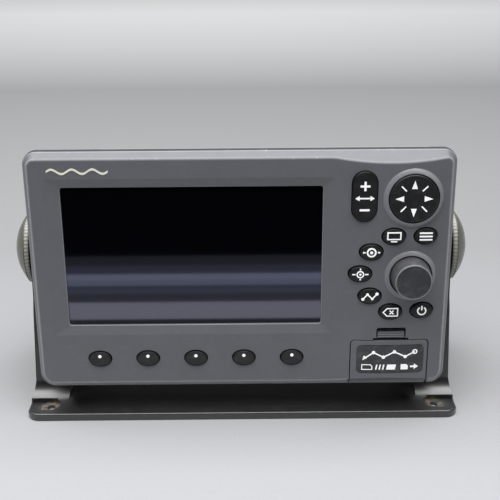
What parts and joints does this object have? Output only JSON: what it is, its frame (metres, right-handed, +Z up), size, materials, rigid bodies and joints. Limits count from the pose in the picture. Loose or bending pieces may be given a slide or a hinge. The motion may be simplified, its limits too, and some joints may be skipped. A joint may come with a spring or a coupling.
{
  "type": "chartplotter display",
  "caption": "Marine chartplotter display: wide screen, oval keys, cursor pad, rotary knob and card door in a head that tilts in a table bracket.",
  "frame": {"origin": "centre of the bracket's four mounting holes, on its underside", "axes": "+X right as the user sees it, +Y away from the user, +Z up; in the rest pose the face leans back 6 degrees"},
  "size_m": [0.296, 0.1299, 0.1734],
  "materials": {
    "bracket_black": "semi-gloss black moulded plastic",
    "case_grey": "fine-grained satin grey plastic",
    "cover_grey": "matt pale grey plastic",
    "rubber_black": "matt black rubber",
    "steel": "plain steel",
    "screen_black": "polished black window",
    "lcd_glass": "dark panel",
    "diffuser_white": "white diffuser",
    "board_green": "solder mask green",
    "board_brown": "bare board brown",
    "chassis_aluminium": "plain sheet",
    "connector_black": "black moulded plastic",
    "brass": "plain brass",
    "encoder_blue": "moulded plastic",
    "badge_cream": "printed cream",
    "label_dark": "dark grey label with pale pictograms",
    "key_black": "matt black keys with white pictograms",
    "knob_olive": "glossy olive-grey moulded plastic"
  },
  "bodies": {
    "base": {"bracket": "bracket_black"},
    "head": {"front_bezel": "case_grey", "rear_cover": "cover_grey", "case_gasket": "rubber_black", "case_screws": "steel", "screen_window": "screen_black", "window_gasket": "rubber_black", "lcd_frame": "steel", "lcd_panel": "lcd_glass", "backlight": "diffuser_white", "softkey_board": "board_green", "keypad_board": "board_green", "softkey_mat": "rubber_black", "keypad_mat": "rubber_black", "chassis_plate": "chassis_aluminium", "main_board": "board_green", "power_board": "board_brown", "chart_card_slot": "connector_black", "memory_card_slot": "steel", "power_connector": "connector_black", "data_connector": "connector_black", "sensor_connector": "connector_black", "antenna_connector": "brass", "ground_terminal": "brass", "insert_left": "brass", "insert_right": "brass", "tilt_washer_left": "rubber_black", "tilt_washer_right": "rubber_black", "encoder_body": "encoder_blue", "front_badge": "badge_cream", "door_hinge_pin": "steel", "latch_spring": "steel"},
    "card_door": {"card_door": "case_grey", "door_label": "label_dark", "door_gasket": "rubber_black"},
    "door_latch": {"door_latch": "case_grey"},
    "range_key": {"range_key": "key_black"},
    "cursor_pivot": {"cursor_pivot": "steel"},
    "cursor_pad": {"cursor_pad": "key_black"},
    "knob_sleeve": {"encoder_sleeve": "steel"},
    "rotary_knob": {"encoder_shaft": "steel", "rotary_knob": "case_grey"},
    "thrust_washer_left": {"thrust_washer_left": "steel"},
    "thrust_washer_right": {"thrust_washer_right": "steel"},
    "clamp_knob_left": {"clamp_knob_left": "knob_olive", "clamp_stud_left": "steel"},
    "clamp_knob_right": {"clamp_knob_right": "knob_olive", "clamp_stud_right": "steel"},
    "soft_key_1": {"soft_key_1": "key_black"},
    "soft_key_2": {"soft_key_2": "key_black"},
    "soft_key_3": {"soft_key_3": "key_black"},
    "soft_key_4": {"soft_key_4": "key_black"},
    "soft_key_5": {"soft_key_5": "key_black"},
    "key_display": {"key_display": "key_black"},
    "key_menu": {"key_menu": "key_black"},
    "key_marker": {"key_marker": "key_black"},
    "key_goto": {"key_goto": "key_black"},
    "key_route": {"key_route": "key_black"},
    "key_clear": {"key_clear": "key_black"},
    "key_power": {"key_power": "key_black"}
  },
  "joints": [
    {"name": "head_tilt", "type": "hinge", "parent": "base", "child": "head", "pos_m": [0, 0, 0.0943], "axis": [-1, 0, 0], "range_deg": [-4, 35]},
    {"name": "soft_key_1_press", "type": "slide", "parent": "head", "child": "soft_key_1", "axis": [0, 0.9945, -0.1045], "range_m": [0, 0.0012], "stiffness_N_per_m": 300},
    {"name": "soft_key_2_press", "type": "slide", "parent": "head", "child": "soft_key_2", "axis": [0, 0.9945, -0.1045], "range_m": [0, 0.0012], "stiffness_N_per_m": 300},
    {"name": "soft_key_3_press", "type": "slide", "parent": "head", "child": "soft_key_3", "axis": [0, 0.9945, -0.1045], "range_m": [0, 0.0012], "stiffness_N_per_m": 300},
    {"name": "soft_key_4_press", "type": "slide", "parent": "head", "child": "soft_key_4", "axis": [0, 0.9945, -0.1045], "range_m": [0, 0.0012], "stiffness_N_per_m": 300},
    {"name": "soft_key_5_press", "type": "slide", "parent": "head", "child": "soft_key_5", "axis": [0, 0.9945, -0.1045], "range_m": [0, 0.0012], "stiffness_N_per_m": 300},
    {"name": "key_display_press", "type": "slide", "parent": "head", "child": "key_display", "axis": [0, 0.9945, -0.1045], "range_m": [0, 0.0012], "stiffness_N_per_m": 300},
    {"name": "key_menu_press", "type": "slide", "parent": "head", "child": "key_menu", "axis": [0, 0.9945, -0.1045], "range_m": [0, 0.0012], "stiffness_N_per_m": 300},
    {"name": "key_marker_press", "type": "slide", "parent": "head", "child": "key_marker", "axis": [0, 0.9945, -0.1045], "range_m": [0, 0.0012], "stiffness_N_per_m": 300},
    {"name": "key_goto_press", "type": "slide", "parent": "head", "child": "key_goto", "axis": [0, 0.9945, -0.1045], "range_m": [0, 0.0012], "stiffness_N_per_m": 300},
    {"name": "key_route_press", "type": "slide", "parent": "head", "child": "key_route", "axis": [0, 0.9945, -0.1045], "range_m": [0, 0.0012], "stiffness_N_per_m": 300},
    {"name": "key_clear_press", "type": "slide", "parent": "head", "child": "key_clear", "axis": [0, 0.9945, -0.1045], "range_m": [0, 0.0012], "stiffness_N_per_m": 300},
    {"name": "key_power_press", "type": "slide", "parent": "head", "child": "key_power", "axis": [0, 0.9945, -0.1045], "range_m": [0, 0.0012], "stiffness_N_per_m": 300},
    {"name": "range_rock", "type": "hinge", "parent": "head", "child": "range_key", "pos_m": [0.0739, -0.0438, 0.14636], "axis": [1, 0, 0], "range_deg": [-3, 3], "stiffness_Nm_per_rad": 0.05},
    {"name": "cursor_up_down", "type": "hinge", "parent": "head", "child": "cursor_pivot", "pos_m": [0.103, -0.04392, 0.14517], "axis": [1, 0, 0], "range_deg": [-3.2, 3.2], "stiffness_Nm_per_rad": 0.05},
    {"name": "cursor_left_right", "type": "hinge", "parent": "cursor_pivot", "child": "cursor_pad", "pos_m": [0.103, -0.04392, 0.14517], "axis": [0, 0.1045, 0.9945], "range_deg": [-3.2, 3.2], "stiffness_Nm_per_rad": 0.05},
    {"name": "knob_press", "type": "slide", "parent": "head", "child": "knob_sleeve", "axis": [0, 0.9945, -0.1045], "range_m": [0, 0.001], "stiffness_N_per_m": 1500},
    {"name": "knob_turn", "type": "hinge", "parent": "knob_sleeve", "child": "rotary_knob", "pos_m": [0.1034, -0.05004, 0.09654], "axis": [0, 0.9945, -0.1045], "continuous": true},
    {"name": "card_door_hinge", "type": "hinge", "parent": "head", "child": "card_door", "pos_m": [0.0927, -0.05347, 0.02471], "axis": [1, 0, 0], "range_deg": [0, 100]},
    {"name": "door_latch_slide", "type": "slide", "parent": "head", "child": "door_latch", "axis": [0, 0.1045, 0.9945], "range_m": [0, 0.0021], "stiffness_N_per_m": 300, "deforming": ["latch_spring"]},
    {"name": "left_knob_travel", "type": "slide", "parent": "base", "child": "thrust_washer_left", "axis": [-1, 0, 0], "range_m": [0, 0.0025]},
    {"name": "left_knob_turn", "type": "hinge", "parent": "thrust_washer_left", "child": "clamp_knob_left", "pos_m": [-0.1361, 0, 0.0943], "axis": [-1, 0, 0], "range_deg": [0, 720]},
    {"name": "right_knob_travel", "type": "slide", "parent": "base", "child": "thrust_washer_right", "axis": [1, 0, 0], "range_m": [0, 0.0025]},
    {"name": "right_knob_turn", "type": "hinge", "parent": "thrust_washer_right", "child": "clamp_knob_right", "pos_m": [0.1361, 0, 0.0943], "axis": [1, 0, 0], "range_deg": [0, 720]}
  ],
  "couplings": [
    {"joint": "left_knob_travel", "follows": "left_knob_turn", "m_per_rad": 0.0001989},
    {"joint": "right_knob_travel", "follows": "right_knob_turn", "m_per_rad": 0.0001989}
  ]
}
